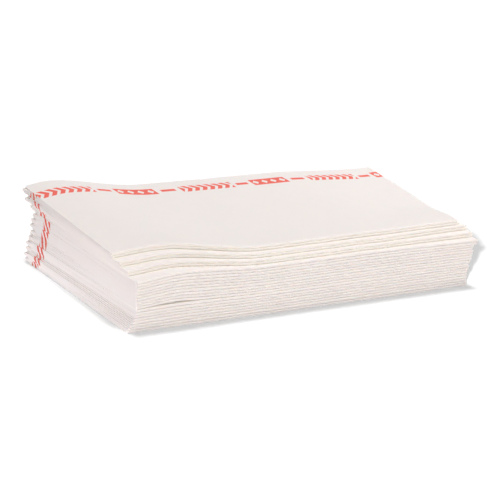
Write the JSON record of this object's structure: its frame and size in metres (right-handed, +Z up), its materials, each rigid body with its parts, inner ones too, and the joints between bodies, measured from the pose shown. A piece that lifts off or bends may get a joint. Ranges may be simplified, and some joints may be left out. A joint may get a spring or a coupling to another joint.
{
  "type": "stack of folded wiping cloths",
  "caption": "Loose stack of flat white wiping cloths, each folded back and forth, with ridged fold edges in front, cut ends and a red printed border.",
  "frame": {"origin": "on the floor, under the middle of the stack's box", "axes": "+X along the length of the stack, -Y towards its folded front, +Z up"},
  "size_m": [0.3514, 0.167, 0.0605],
  "materials": {
    "cloth": "soft matte nonwoven, white, with a red printed border on one long edge"
  },
  "bodies": {
    "root": {"cloth_01": "cloth", "cloth_02": "cloth", "cloth_03": "cloth", "cloth_04": "cloth", "cloth_05": "cloth", "cloth_06": "cloth", "cloth_07": "cloth", "cloth_08": "cloth", "cloth_09": "cloth", "cloth_10": "cloth", "cloth_11": "cloth", "cloth_12": "cloth"}
  },
  "joints": []
}
